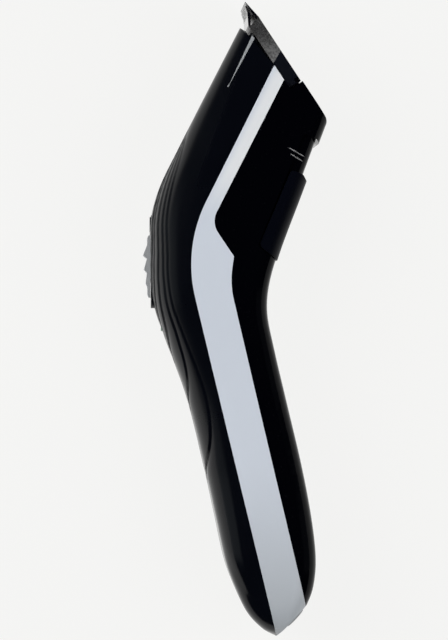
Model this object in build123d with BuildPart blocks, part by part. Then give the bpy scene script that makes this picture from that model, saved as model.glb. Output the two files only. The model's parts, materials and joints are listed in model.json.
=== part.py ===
from build123d import *
import os
from math import cos, radians, sin

# A cordless hair clipper lying on its left side. X runs from the thumb side to the
# back, Y from the base to the blades, Z from the side that it lies on to the other.

os.makedirs("parts", exist_ok=True)

# ---- driving dimensions, millimetres ----
HALF_WIDTH = 23.0        # from the middle plane to the flat sides
WALL = 2.4               # thickness of the housings
RECESS = 1.3             # depth of the length slider's recess
SLIDE_GAP = 0.22         # clearance under the length slider
EDGE_GAP = 0.35          # clearance round the length slider's outline
SLIDER_PROUD = 0.5       # how far the length slider stands out of the back
LENGTH_TRAVEL = 10.5     # travel of the length slider
UNIT_HEIGHT = 3.9        # thickness of the cutting unit
UNIT_LENGTH = 20.7       # from the blade end of the cutting unit to its hinge end
UNIT_HALF_WIDTH = 21.4
TOOTH_PITCH = 1.5
TOOTH_GAP = 0.75
ORBIT = 1.1              # eccentricity of the drive pin
PIN_RADIUS = 0.9
MOTOR_RADIUS = 11.9
MOTOR_LENGTH = 27.0
CELL_RADIUS = 7.2
CELL_LENGTH = 49.0
INLET_RADIUS = 2.75
MID = HALF_WIDTH         # height of the middle plane above the resting side
FULL = 4 * HALF_WIDTH    # long enough to cut through the whole object


# ---- frames of reference ----
def side_plane(x, y, angle, z=0.0):
    """A plane seen from the side, its x axis turned by angle degrees from X."""
    return Plane(origin=(x, y, z), x_dir=(cos(radians(angle)), sin(radians(angle)), 0),
                 z_dir=(0, 0, 1))


def axis_plane(x, y, angle):
    """A plane across an axis that runs at angle degrees in the middle plane."""
    return Plane(origin=(x, y, MID), x_dir=(0, 0, 1),
                 z_dir=(cos(radians(angle)), sin(radians(angle)), 0))


CUT = side_plane(4.0, 82.9, -56.55)          # along the cutting plane, down from the blades
SLIDE = side_plane(12.0, 18.2, 69.34)        # along the back of the head, upwards
DRIVE = axis_plane(12.7, 69.7, 243.4)        # motor axis, down from the cutting plane
HANDLE = axis_plane(-2.6, -15.5, -75.9)      # battery axis, down the handle
INLET = axis_plane(16.95, -84.7, -42.9)      # inlet axis, out of the sloping base


def on_side(plane, x, y):
    """The model's X and Y of a point given in a side plane."""
    point = plane.from_local_coords((x, y, 0))
    return (point.X, point.Y)


def cut(u, n):
    return on_side(CUT, u, n)


def depth(plane, z):
    """The same side plane, moved up to height z."""
    return Plane(origin=plane.origin + Vector(0, 0, z - plane.origin.Z),
                 x_dir=plane.x_dir, z_dir=(0, 0, 1))


# ---- body form: rounded sections across Y ----
# height, front, back, half width, front corner radius, back corner radius
STATIONS = (
    (92.0, 6.2, 39.8, 21.2, 5.0, 5.0),
    (76.0, -2.0, 33.8, 22.5, 6.0, 5.5),
    (62.0, -9.2, 28.5, 23.0, 8.0, 6.0),
    (48.0, -16.3, 23.2, 23.0, 10.5, 6.0),
    (38.0, -21.1, 19.5, 23.0, 12.0, 6.0),
    (29.0, -23.5, 16.1, 23.0, 12.5, 6.0),
    (20.0, -23.7, 12.7, 23.0, 12.5, 6.0),
    (11.5, -23.6, 10.2, 22.95, 12.5, 6.0),
    (4.0, -22.6, 9.2, 22.7, 12.5, 6.0),
    (-5.0, -19.8, 10.6, 22.2, 12.0, 6.0),
    (-22.0, -14.5, 14.6, 21.4, 11.5, 6.5),
    (-42.0, -9.5, 19.3, 21.5, 11.0, 6.5),
    (-58.0, -5.3, 22.2, 22.4, 10.0, 6.5),
    (-69.0, -2.4, 23.15, 22.9, 9.0, 6.5),
    (-77.0, 0.6, 22.1, 22.8, 8.0, 6.0),
    (-83.5, 3.9, 19.4, 21.6, 6.0, 5.0),
    (-88.0, 8.3, 17.6, 18.5, 4.0, 3.0),
    (-90.06, 12.0, 16.8, 14.0, 2.2, 1.6),
)


SECTIONS = 30


def slope(low, high, column):
    """How fast a column of the stations changes from one station to another."""
    return (high[column] - low[column]) / (high[0] - low[0])


def station_at(y):
    """The section at height y, on cubics that pass through the stations."""
    last = len(STATIONS) - 1
    i = max(k for k in range(last) if STATIONS[k][0] >= y - 1e-9)
    before, above = STATIONS[max(i - 1, 0)], STATIONS[i]
    below, after = STATIONS[i + 1], STATIONS[min(i + 2, last)]
    step = below[0] - above[0]
    t = (y - above[0]) / step
    values = []
    for c in range(1, 6):
        start, end = slope(before, below, c) * step, slope(above, after, c) * step
        values.append((2 * t**3 - 3 * t**2 + 1) * above[c] + (t**3 - 2 * t**2 + t) * start
                      + (3 * t**2 - 2 * t**3) * below[c] + (t**3 - t**2) * end)
    return values


def section_heights():
    """Heights of the sections, closer together towards the tip of the base."""
    top, bottom = STATIONS[0][0], STATIONS[-1][0]
    return [bottom + (top - bottom) * (1 - k / SECTIONS)**1.5 for k in range(SECTIONS + 1)]


def body_form(inset):
    """The body's closed outer form, moved inwards by inset."""
    with BuildPart() as form:
        for y in section_heights():
            front, back, half, front_corner, back_corner = station_at(y)
            lo, hi = MID - half + inset, MID + half - inset
            left, right = front + inset, back - inset
            if right - left < 4.0:
                continue                     # a wall fills the tip of the base
            spare = 0.9 * (right - left) / (front_corner + back_corner)
            scale = min(1.0, spare)
            near = max(front_corner * scale - inset, 0.6)
            far = max(back_corner * scale - inset, 0.6)
            with BuildSketch(Plane.XZ.offset(-y)):
                with BuildLine():
                    FilletPolyline((left, lo), (right, lo), (right, hi), (left, hi),
                                   radius=(near, far, far, near), close=True)
                make_face()
        loft()
    return form.part



OUTER = body_form(0)
CAVITY = body_form(WALL)
BASE_TIP = (11.97, -90.06)
SLOPE_ANGLE = 47.1                            # the sloping base, from X
SLOPE = side_plane(*BASE_TIP, SLOPE_ANGLE)


def trimmed(form, mouth, skin, lip, base):
    """A body form cut by the cutting plane, the skin plane and the sloping base."""
    with BuildPart() as body:
        add(form)
        with BuildSketch(Plane.XY.offset(-FULL / 4)):
            with BuildLine():
                FilletPolyline(
                    (-70, 119), cut(-0.1, lip), *mouth, cut(34.4 + skin - 4.2, skin),
                    on_side(SLIDE, 20, -0.06), (60, 20), on_side(SLOPE, 60, base),
                    on_side(SLOPE, -40, base), (-70, -110),
                    radius=[0, 0] + [0] * len(mouth) + [3.0, 0, 0, 0, 0, 0], close=True)
            make_face()
        extrude(amount=FULL, mode=Mode.INTERSECT)
    return body.part


MOUTH_END = 21.1
SKIN = 4.2                                   # the skin plane stands this far above the mouth
SHELL_OUT = trimmed(OUTER, [cut(0, 0), cut(MOUTH_END, 0), cut(MOUTH_END, SKIN)], SKIN, -0.2, 0)
RIB = 1.9                                    # rib between the mouth and the skin side
SHELL_IN = trimmed(CAVITY, [cut(0.8, -1), cut(0.8, 2), cut(20.0, 2), cut(20.0, -1.2),
                            cut(MOUTH_END + RIB, -1.2), cut(MOUTH_END + RIB, SKIN - WALL)],
                   SKIN - WALL, -3, WALL)

# ---- regions of the side view ----
BAND_FRONT = [(18.05, 86.0), (-14.7, 20.5), BASE_TIP, (9.0, -104.0)]
BAND_BACK = [(23.0, 85.9), (-6.73, 27.5), (-0.3, 18.0), (-1.4, 10.2), (21.2, -85.4), (24.5, -99.4)]


def region_between(edges, closing, radii):
    """A flat region of the side view, from a list of corners and their radii."""
    with BuildSketch(Plane.XY.offset(-FULL / 4)) as region:
        with BuildLine():
            FilletPolyline(*edges, *closing, radius=radii, close=True)
        make_face()
    return region.sketch


FRONT_REGION = region_between(BAND_FRONT, [(-60, -104.0), (-60, 86.0)], [0, 40, 0, 0, 0, 0])
BACK_REGION = region_between(BAND_BACK, [(70, -99.4), (70, 85.9)], [0, 6, 0, 25, 0, 0, 0, 0])
BAND_REGION = region_between(BAND_FRONT, BAND_BACK[::-1], [0, 40, 0, 0, 0, 0, 25, 0, 6, 0])
SLIDER_REGION = [(-2.2, -4.0), (0.9, 5.8), (24.1, 4.9), (24.1, 1.2), (22.2, -1.2), (21.0, -4.0)]


def shell(region, name):
    """One wall of the hollow body, cut out by a region of the side view."""
    with BuildPart() as piece:
        add(SHELL_OUT)
        add(SHELL_IN, mode=Mode.SUBTRACT)
        extrude(region, amount=FULL, mode=Mode.INTERSECT)
    piece.part.label = name
    return piece.part


def save(part, name):
    part.label = name
    export_step(part, f"parts/{name}.step")


# ---- trim band: both sides and the base in one piece ----
with BuildPart() as trim_band:
    add(shell(BAND_REGION, "band"))
    with BuildSketch(INLET.offset(-6)):
        Circle(3.4)
    extrude(amount=14, mode=Mode.SUBTRACT)
save(trim_band.part, "trim_band")

# ---- front housing, with its switch slot, bosses and charge light hole ----
ACCENT_DEPTH = 1.2
ACCENT = [(4.4, 81.4), (5.5, 79.75), (-2.1, 65.3)]
SCREW_Y = 22.5
SCREW_SPREAD = 13.0
LIGHT_Y = -2.0
BEZEL_Y = 16.7
BEZEL_LENGTH = 26.6
BEZEL_WIDTH = 14.8


def accent_face(z):
    """The accent wedge's outline at height z."""
    with BuildSketch(Plane.XY.offset(z)) as face:
        with BuildLine():
            Polyline(*ACCENT, close=True)
        make_face()
    return face.sketch


with BuildPart() as front_housing:
    add(shell(FRONT_REGION, "front"))
    with BuildSketch(Plane.YZ.offset(-30)):
        with Locations((BEZEL_Y, MID)):
            RectangleRounded(BEZEL_LENGTH + 0.1, BEZEL_WIDTH + 0.1, 3.0)
        with Locations((LIGHT_Y, MID)):
            Circle(1.25)
    extrude(amount=14, mode=Mode.SUBTRACT)
    for side in (-1, 1):
        with BuildSketch(axis_plane(-21.5, SCREW_Y, 0)):
            with Locations((side * SCREW_SPREAD, 0)):
                Circle(2.8)
        extrude(amount=24.0)
        with BuildSketch(axis_plane(-10.0, SCREW_Y, 0)):
            with Locations((side * SCREW_SPREAD, 0)):
                Circle(1.05)
        extrude(amount=14, mode=Mode.SUBTRACT)
    extrude(accent_face(-1), amount=1 + ACCENT_DEPTH, mode=Mode.SUBTRACT)
    extrude(accent_face(2 * MID - ACCENT_DEPTH), amount=1 + ACCENT_DEPTH, mode=Mode.SUBTRACT)
save(front_housing.part, "front_housing")

with BuildPart() as accent_strips:
    add(shell(FRONT_REGION, "front"))
    extrude(accent_face(-1), amount=FULL, mode=Mode.INTERSECT)
    with BuildSketch(Plane.XY.offset(ACCENT_DEPTH)):
        Rectangle(FULL * 2, FULL * 2)
    extrude(amount=2 * (MID - ACCENT_DEPTH), mode=Mode.SUBTRACT)
save(accent_strips.part, "accent_strips")


# ---- back housing, with the recess and slot of the length slider ----
def slider_outline(extra, top):
    """The length slider's side view, grown by extra and reaching top further up."""
    (x0, y0), (x1, y1), (x2, y2), (x3, y3), (x4, y4), (x5, y5) = SLIDER_REGION
    points = [(x0 - extra, y0), (x1 - extra, y1 + extra), (x2 + top + extra, y2 + extra),
              (x3 + top + extra, y3), (x4 + top + extra, y4), (x5 + top + extra, y5)]
    return points


def slider_face(points):
    """The length slider's outline as a flat face beside the body."""
    with BuildSketch(depth(SLIDE, -FULL / 4)) as face:
        with BuildLine():
            FilletPolyline(*points, radius=[0, 1.5, 1.0, 1.2, 2.0, 0], close=True)
        make_face()
    return face.sketch


with BuildPart() as recess_block:
    extrude(slider_face(slider_outline(EDGE_GAP, LENGTH_TRAVEL)), amount=FULL)
    add(body_form(RECESS), mode=Mode.SUBTRACT)

with BuildPart() as back_housing:
    add(shell(BACK_REGION, "back"))
    add(recess_block.part, mode=Mode.SUBTRACT)
    for side in (-1, 1):
        place = (side * SCREW_SPREAD, 0)
        with BuildSketch(axis_plane(2.6, SCREW_Y, 0)):
            with Locations(place):
                Circle(3.4)
        extrude(amount=8.6)
        with BuildSketch(axis_plane(2.0, SCREW_Y, 0)):
            with Locations(place):
                Circle(1.3)
        extrude(amount=6, mode=Mode.SUBTRACT)
        with BuildSketch(axis_plane(6.0, SCREW_Y, 0)):
            with Locations(place):
                Circle(2.5)
        extrude(amount=12, mode=Mode.SUBTRACT)
    with BuildSketch(depth(SLIDE, MID - 1.7)):
        with Locations((14.25, 3)):
            Rectangle(17.1, 8)
    extrude(amount=3.4, mode=Mode.SUBTRACT)
save(back_housing.part, "back_housing")

with BuildPart() as length_slider:
    add(body_form(-SLIDER_PROUD))
    extrude(slider_face(slider_outline(0, 0)), amount=FULL, mode=Mode.INTERSECT)
    with BuildSketch(Plane.XY.offset(SLIDE_GAP)):
        Rectangle(FULL * 2, FULL * 2)
    extrude(amount=2 * (MID - SLIDE_GAP), mode=Mode.INTERSECT)
    add(body_form(RECESS - SLIDE_GAP), mode=Mode.SUBTRACT)
    with BuildSketch(depth(SLIDE, MID - 1.4)):
        with Locations((9.0, 1.55)):
            Rectangle(6.0, 1.9)
    extrude(amount=2.8)
    with BuildSketch(Plane(origin=(*on_side(SLIDE, 9.0, 2.6), MID), z_dir=SLIDE.y_dir)):
        Circle(0.7)
    extrude(amount=-1.6, mode=Mode.SUBTRACT)
save(length_slider.part, "length_slider")

RETAINER = Plane(origin=(*on_side(SLIDE, 9.0, 2.5), MID), x_dir=SLIDE.x_dir, z_dir=SLIDE.y_dir)
with BuildPart() as slider_retainer:
    with BuildSketch(RETAINER.offset(0.12)):
        RectangleRounded(12.0, 11.0, 1.5)
        Circle(0.75, mode=Mode.SUBTRACT)
    extrude(amount=1.2)
save(slider_retainer.part, "slider_retainer")

with BuildPart() as retainer_screw:
    with BuildSketch(RETAINER.offset(-1.3)):
        Circle(0.68)
    extrude(amount=2.62)
    with BuildSketch(RETAINER.offset(1.32)):
        Circle(1.6)
        Rectangle(2.2, 0.5, mode=Mode.SUBTRACT)
    extrude(amount=0.9)
    with BuildSketch(RETAINER.offset(1.32)):
        Circle(1.6)
    extrude(amount=0.4)
save(retainer_screw.part, "retainer_screw")

with BuildPart() as housing_screws:
    for side in (-1, 1):
        place = (side * SCREW_SPREAD, 0)
        with BuildSketch(axis_plane(-8.0, SCREW_Y, 0)):
            with Locations(place):
                Circle(1.0)
        extrude(amount=14.0)
        with BuildSketch(axis_plane(6.0, SCREW_Y, 0)):
            with Locations(place):
                Circle(2.3)
        extrude(amount=1.8)
        with BuildSketch(axis_plane(7.0, SCREW_Y, 0)):
            with Locations(place):
                Rectangle(2.6, 0.6)
                Rectangle(0.6, 2.6)
        extrude(amount=1.0, mode=Mode.SUBTRACT)
save(housing_screws.part, "housing_screws")

# ---- switch: bezel, thumb slider, lever, switch body and board ----
BEZEL_FACE = -23.55
SWITCH_TRAVEL = 2.5
STEM_Y = 15.2
STEM_LENGTH = 6.5
SLOT_LENGTH = STEM_LENGTH + SWITCH_TRAVEL + 0.6

with BuildPart() as switch_bezel:
    with BuildSketch(Plane.YZ.offset(-21.4)):
        with Locations((BEZEL_Y, MID)):
            RectangleRounded(BEZEL_LENGTH, BEZEL_WIDTH, 3.0)
    extrude(amount=BEZEL_FACE + 21.4)
    with BuildSketch(Plane.YZ.offset(BEZEL_FACE)):
        with Locations((27.4, MID)):
            RectangleRounded(4.2, 11.0, 1.9)
    extrude(amount=-0.35)
    with BuildSketch(Plane.YZ.offset(-26)):
        with Locations((STEM_Y - SWITCH_TRAVEL / 2, MID)):
            RectangleRounded(SLOT_LENGTH, 4.0, 0.6)
    extrude(amount=8, mode=Mode.SUBTRACT)
save(switch_bezel.part, "switch_bezel")

PLATE_IN = BEZEL_FACE - 0.2
with BuildPart() as on_off_slider:
    with BuildSketch(Plane.XY.offset(MID - 6.0)):
        with BuildLine():
            Polyline((PLATE_IN, 24.3), (-24.2, 24.3), (-24.65, 23.5), (-24.65, 21.6),
                     (-25.85, 18.5), (-24.75, 17.5), (-25.6, 14.5), (-24.75, 13.4),
                     (-25.1, 10.5), (-24.6, 9.4), (-24.6, 7.2), (-24.2, 6.4),
                     (PLATE_IN, 6.4), close=True)
        make_face()
    extrude(amount=12.0)
    fillet(on_off_slider.edges().filter_by(Axis.X), radius=0.15)
    with BuildSketch(Plane.YZ.offset(PLATE_IN)):
        with Locations((STEM_Y, MID)):
            Rectangle(STEM_LENGTH, 3.4)
    extrude(amount=6.5)
    with BuildSketch(Plane.YZ.offset(-18.8)):
        with Locations((STEM_Y, MID)):
            Rectangle(2.2, 4.0)
    extrude(amount=3, mode=Mode.SUBTRACT)
save(on_off_slider.part, "on_off_slider")

BOARD_FACE = -13.4
with BuildPart() as switch_body:
    with BuildSketch(Plane.YZ.offset(BOARD_FACE - 2.8)):
        with Locations((STEM_Y - SWITCH_TRAVEL / 2, MID)):
            Rectangle(13.0, 6.8)
    extrude(amount=2.8)
    with BuildSketch(Plane.YZ.offset(BOARD_FACE - 2.8)):
        with Locations((STEM_Y - SWITCH_TRAVEL / 2, MID)):
            Rectangle(SWITCH_TRAVEL + 2.8, 2.0)
    extrude(amount=1.6, mode=Mode.SUBTRACT)
save(switch_body.part, "switch_body")

with BuildPart() as switch_lever:
    with BuildSketch(Plane.YZ.offset(-18.6)):
        with Locations((STEM_Y, MID)):
            Rectangle(2.0, 1.6)
    extrude(amount=3.6)
save(switch_lever.part, "switch_lever")

with BuildPart() as control_board:
    with BuildSketch(Plane.YZ.offset(BOARD_FACE)):
        with Locations((10.0, MID)):
            RectangleRounded(36.0, 18.8, 1.0)
            with GridLocations(31.0, 14.0, 2, 2):
                Circle(0.9, mode=Mode.SUBTRACT)
    extrude(amount=1.6)
save(control_board.part, "control_board")

with BuildPart() as board_parts:
    with BuildSketch(Plane.YZ.offset(BOARD_FACE + 1.6)):
        with Locations((19.0, MID + 3.5), (8.0, MID - 4.0)):
            Rectangle(5.0, 4.0)
    extrude(amount=1.4)
    with BuildSketch(Plane.YZ.offset(BOARD_FACE + 1.6)):
        with Locations((0.0, MID + 3.5), (18.5, MID - 4.0)):
            Circle(2.5)
    extrude(amount=5.0)
    with BuildSketch(Plane.YZ.offset(BOARD_FACE)):
        with Locations((LIGHT_Y, MID)):
            Rectangle(2.0, 1.4)
    extrude(amount=-1.0)
save(board_parts.part, "board_parts")

with BuildPart() as charge_light:
    with BuildSketch(Plane.YZ.offset(BOARD_FACE - 1.2)):
        with Locations((LIGHT_Y, MID)):
            Circle(1.2)
    extrude(amount=-6.1)
save(charge_light.part, "charge_light")

# ---- head frame with motor sleeve and hinge lugs ----
HINGE_U, HINGE_N = 19.9, 3.1
HINGE_PIN = 0.7
LUG_Z, LUG_WIDTH = 10.4, 3.0
WINDOW_HALF = 6.7           # half width of the notch that the drive pin orbits in
MOTOR_FRONT = 11.0
SLEEVE_IN, SLEEVE_OUT = MOTOR_RADIUS + 0.1, MOTOR_RADIUS + 1.4

with BuildPart() as head_frame:
    with BuildSketch(DRIVE.offset(-6)):
        Circle(SLEEVE_OUT)
        Circle(SLEEVE_IN, mode=Mode.SUBTRACT)
    extrude(amount=26)
    with BuildSketch(DRIVE.offset(MOTOR_FRONT - 1.2)):
        Circle(SLEEVE_OUT)
        Circle(7.0, mode=Mode.SUBTRACT)
        with Locations((9.6, 0), (-9.6, 0)):
            Circle(1.05, mode=Mode.SUBTRACT)
    extrude(amount=1.15)
    with BuildSketch(depth(CUT, 0)):
        with BuildLine():
            Polyline((-5, -2.25), (19.6, -2.25), (19.6, -2.8), (60, -2.8), (60, -60),
                     (-5, -60), close=True)
        make_face()
    extrude(amount=2 * MID, mode=Mode.INTERSECT)
    with BuildSketch(depth(CUT, MID - 19.0)):
        with BuildLine():
            Polyline((2.2, -2.3), (1.6, -0.15), (19.6, -0.15), (19.6, -2.3), close=True)
        make_face()
    extrude(amount=38.0)
    with BuildSketch(depth(CUT, MID - WINDOW_HALF)):
        with BuildLine():
            Polyline((10.7, -10), (20.4, -10), (20.4, 2), (10.7, 2), close=True)
        make_face()
    extrude(amount=2 * WINDOW_HALF, mode=Mode.SUBTRACT)
    for side in (-1, 1):
        with BuildSketch(depth(CUT, MID + side * LUG_Z - LUG_WIDTH / 2)):
            with Locations((HINGE_U, HINGE_N)):
                Circle(1.1)
            with Locations((18.95, -0.6)):
                Rectangle(1.3, 1.0)
            make_hull()
            with Locations((HINGE_U, HINGE_N)):
                Circle(HINGE_PIN, mode=Mode.SUBTRACT)
        extrude(amount=LUG_WIDTH)
save(head_frame.part, "head_frame")

with BuildPart() as unit_hinge_pin:
    with BuildSketch(depth(CUT, MID - 16)):
        with Locations((HINGE_U, HINGE_N)):
            Circle(HINGE_PIN)
    extrude(amount=32)
save(unit_hinge_pin.part, "unit_hinge_pin")

# ---- cutting unit ----
UNIT_GAP = 0.1                               # the unit lies this far above the mouth
BLADE_LOW = 2.95                             # underside of the fixed blade
POST_U, POST_Z = 6.2, 14.0
NOTCH_HALF = 3.6                             # half width of the drive pin's room
SPLIT_LOW, SPLIT_HIGH = 12.4, 10.4           # where the grey and the black half meet

with BuildPart() as unit_block:
    with BuildSketch(depth(CUT, MID - UNIT_HALF_WIDTH)):
        with BuildLine():
            Polyline((-0.1, UNIT_GAP), (-0.6, 2.9), (-1.25, UNIT_HEIGHT),
                     (UNIT_LENGTH, UNIT_HEIGHT), (UNIT_LENGTH, UNIT_GAP), close=True)
        make_face()
    extrude(amount=2 * UNIT_HALF_WIDTH)
    with BuildSketch(depth(CUT, MID - 19.7)):
        with Locations((8.0, 0.0)):
            Rectangle(20.0, 2 * (BLADE_LOW - 0.02))
    extrude(amount=39.4, mode=Mode.SUBTRACT)
    with BuildSketch(depth(CUT, MID - 20.6)):
        with Locations((3.1, BLADE_LOW - 0.02 + 2)):
            Rectangle(10.2, 4.0)
    extrude(amount=41.2, mode=Mode.SUBTRACT)
    for side in (-1, 1):
        with BuildSketch(depth(CUT, MID + side * 16.0 - 4.0)):
            with Locations((POST_U, 1.5)):
                Rectangle(3.2, 2.8)
        extrude(amount=8.0)
        with BuildSketch(depth(CUT, MID + side * LUG_Z - LUG_WIDTH / 2 - 0.2)):
            with Locations((20.0, 2.0)):
                Rectangle(4.2, 6.0)
        extrude(amount=LUG_WIDTH + 0.4, mode=Mode.SUBTRACT)
    with BuildSketch(depth(CUT, MID - NOTCH_HALF)):
        with Locations((17.9, 0.0)):
            Rectangle(1.3, 3.0)
    extrude(amount=2 * NOTCH_HALF, mode=Mode.SUBTRACT)
    with BuildSketch(depth(CUT, 0)):
        with Locations((HINGE_U, HINGE_N)):
            Circle(HINGE_PIN + 0.04)
    extrude(amount=2 * MID, mode=Mode.SUBTRACT)
    for side in (-1, 1):
        hole = (*on_side(CUT, POST_U, UNIT_GAP), MID + side * POST_Z)
        with BuildSketch(Plane(origin=hole, z_dir=CUT.y_dir)):
            Circle(0.9)
        extrude(amount=6, mode=Mode.SUBTRACT)


def unit_half(corners):
    """The part of the cutting unit's frame inside a polygon of the side view."""
    with BuildPart() as half:
        add(unit_block.part)
        with BuildSketch(depth(CUT, 0)):
            with BuildLine():
                Polyline(*corners, close=True)
            make_face()
        extrude(amount=2 * MID, mode=Mode.INTERSECT)
    return half.part


save(unit_half([(-5, 0), (SPLIT_LOW, 0), (SPLIT_HIGH, 4), (-5, 4)]), "blade_frame")
save(unit_half([(SPLIT_LOW, 0), (30, 0), (30, 4), (SPLIT_HIGH, 4)]), "hinge_frame")


def tooth_gaps(start, gap_end, half):
    """Slots between the teeth, as one group of cutters."""
    count = int(2 * half / TOOTH_PITCH)
    with BuildPart() as gaps:
        with BuildSketch(Plane(origin=(*cut(0, -1), MID), x_dir=CUT.x_dir, z_dir=CUT.y_dir)):
            with Locations(((start + gap_end) / 2, 0)):
                with GridLocations(1, TOOTH_PITCH, 1, count):
                    Rectangle(gap_end - start, TOOTH_GAP)
        extrude(amount=7)
    return gaps.part


with BuildPart() as fixed_blade:
    with BuildSketch(depth(CUT, MID - 20.5)):
        with BuildLine():
            Polyline((-6.6, BLADE_LOW), (-6.6, 3.12), (-1.3, UNIT_HEIGHT), (8.0, UNIT_HEIGHT),
                     (8.0, BLADE_LOW), close=True)
        make_face()
    extrude(amount=41.0)
    add(tooth_gaps(-9.0, -2.6, 20.5), mode=Mode.SUBTRACT)
    for side in (-1, 1):
        seat = (*on_side(CUT, POST_U, UNIT_HEIGHT), MID + side * POST_Z)
        with Locations(Plane(origin=seat, z_dir=CUT.y_dir)):
            CounterSinkHole(radius=0.95, counter_sink_radius=1.8, depth=3)
save(fixed_blade.part, "fixed_blade")

with BuildPart() as blade_screws:
    for side in (-1, 1):
        seat = (*on_side(CUT, POST_U, UNIT_HEIGHT - 0.05), MID + side * POST_Z)
        with BuildSketch(Plane(origin=seat, z_dir=-CUT.y_dir)):
            Circle(1.72)
        extrude(amount=0.85, taper=44)
        with BuildSketch(Plane(origin=seat, z_dir=-CUT.y_dir)):
            Circle(0.85)
        extrude(amount=3.3)
        with BuildSketch(Plane(origin=seat, z_dir=-CUT.y_dir)):
            Rectangle(2.0, 0.45)
            Rectangle(0.45, 2.0)
        extrude(amount=0.5, mode=Mode.SUBTRACT)
save(blade_screws.part, "blade_screws")

MOVING_HALF = 18.4
with BuildPart() as moving_blade:
    with BuildSketch(depth(CUT, MID - MOVING_HALF)):
        with BuildLine():
            Polyline((-5.7, BLADE_LOW - 0.06), (-5.7, 2.5), (-3.9, 2.1), (-0.6, 0.25),
                     (4.2, 0.25), (4.2, 0.85), (-0.3, 0.85), (-3.5, BLADE_LOW - 0.06),
                     close=True)
        make_face()
    extrude(amount=2 * MOVING_HALF)
    add(tooth_gaps(-9.0, -3.0, MOVING_HALF), mode=Mode.SUBTRACT)
    for side in (-1, 1):
        with BuildSketch(Plane(origin=(*cut(2.6, -1), MID + side * 4.5), z_dir=CUT.y_dir)):
            Circle(0.85)
        extrude(amount=4, mode=Mode.SUBTRACT)
save(moving_blade.part, "moving_blade")

TINE_GAP = PIN_RADIUS + 2 * ORBIT + 0.2      # from the middle plane to each tine
with BuildPart() as blade_bridge:
    with BuildSketch(depth(CUT, MID - 7.0)):
        with BuildLine():
            Polyline((0.8, 0.85), (0.8, 1.7), (1.4, 2.1), (17.2, 2.1), (17.4, 0.85), close=True)
        make_face()
    extrude(amount=14.0)
    for side in (-1, 1):
        with BuildSketch(depth(CUT, MID + side * (TINE_GAP + 0.8) - 0.8)):
            with Locations((15.35, -0.7)):
                Rectangle(4.1, 4.2)
        extrude(amount=1.6)
        with BuildSketch(Plane(origin=(*cut(2.6, 0.9), MID + side * 4.5), z_dir=-CUT.y_dir)):
            Circle(0.8)
        extrude(amount=0.8)
save(blade_bridge.part, "blade_bridge")

with BuildPart() as blade_spring:
    for side in (-1, 1):
        with BuildSketch(depth(CUT, MID + side * 9.8 - 1.1)):
            with BuildLine():
                Polyline((1.2, 0.93), (7.0, 0.93), (9.2, 2.6), (10.0, 2.6), (10.0, 2.9),
                         (9.0, 2.9), (6.85, 1.23), (1.2, 1.23), close=True)
            make_face()
        extrude(amount=2.2)
save(blade_spring.part, "blade_spring")

# ---- motor and rotor ----
CAN_WALL = 0.8
MOTOR_BACK = MOTOR_FRONT + MOTOR_LENGTH
SHAFT = 1.0
BEARING = 3.0

with BuildPart() as motor_can:
    with BuildSketch(DRIVE.offset(MOTOR_FRONT)):
        Circle(MOTOR_RADIUS)
    extrude(amount=MOTOR_LENGTH)
    with BuildSketch(DRIVE.offset(MOTOR_FRONT + CAN_WALL)):
        Circle(MOTOR_RADIUS - CAN_WALL)
    extrude(amount=MOTOR_LENGTH, mode=Mode.SUBTRACT)
    with BuildSketch(DRIVE.offset(MOTOR_FRONT - 1)):
        Circle(BEARING)
        with Locations((9.6, 0), (-9.6, 0)):
            Circle(0.9)
    extrude(amount=3, mode=Mode.SUBTRACT)
save(motor_can.part, "motor_can")

with BuildPart() as motor_screws:
    for side in (-1, 1):
        with BuildSketch(DRIVE.offset(MOTOR_FRONT - 1.2)):
            with Locations((side * 9.6, 0)):
                Circle(0.88)
        extrude(amount=3.4)
        with BuildSketch(DRIVE.offset(MOTOR_FRONT - 1.2)):
            with Locations((side * 9.6, 0)):
                Circle(1.7)
        extrude(amount=-1.0)
save(motor_screws.part, "motor_screws")

with BuildPart() as motor_end_cap:
    with BuildSketch(DRIVE.offset(MOTOR_BACK)):
        Circle(MOTOR_RADIUS)
        Circle(BEARING, mode=Mode.SUBTRACT)
    extrude(amount=2.6)
    fillet(motor_end_cap.faces().sort_by(Axis.Y)[0].edges().sort_by(SortBy.LENGTH)[-1], 0.8)
save(motor_end_cap.part, "motor_end_cap")

with BuildPart() as motor_bearings:
    for place in (MOTOR_FRONT + 0.1, MOTOR_BACK + 0.2):
        with BuildSketch(DRIVE.offset(place)):
            Circle(BEARING)
            Circle(SHAFT + 0.03, mode=Mode.SUBTRACT)
        extrude(amount=2.2)
save(motor_bearings.part, "motor_bearings")

with BuildPart() as shaft_seal:
    with BuildSketch(DRIVE.offset(MOTOR_FRONT - 1.1)):
        Circle(5.5)
        Circle(SHAFT + 0.3, mode=Mode.SUBTRACT)
    extrude(amount=1.1)
save(shaft_seal.part, "shaft_seal")

with BuildPart() as motor_magnets:
    with BuildSketch(DRIVE.offset(MOTOR_FRONT + 4)):
        Circle(MOTOR_RADIUS - CAN_WALL)
        Circle(9.7, mode=Mode.SUBTRACT)
        Rectangle(30, 7, mode=Mode.SUBTRACT)
    extrude(amount=19)
save(motor_magnets.part, "motor_magnets")

with BuildPart() as motor_brushes:
    for side in (-1, 1):
        with BuildSketch(DRIVE.offset(MOTOR_BACK - 3.6)):
            with Locations((side * 6.6, 0)):
                Rectangle(7.2, 1.6)
        extrude(amount=1.8)
        with BuildSketch(DRIVE.offset(MOTOR_BACK - 1.8)):
            with Locations((side * 8.6, 0)):
                Rectangle(3.2, 1.6)
        extrude(amount=1.8)
save(motor_brushes.part, "motor_brushes")

with BuildPart() as motor_shaft:
    with BuildSketch(DRIVE.offset(7.0)):
        Circle(SHAFT)
    extrude(amount=MOTOR_BACK + 3.4 - 7.0)
save(motor_shaft.part, "motor_shaft")

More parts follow.
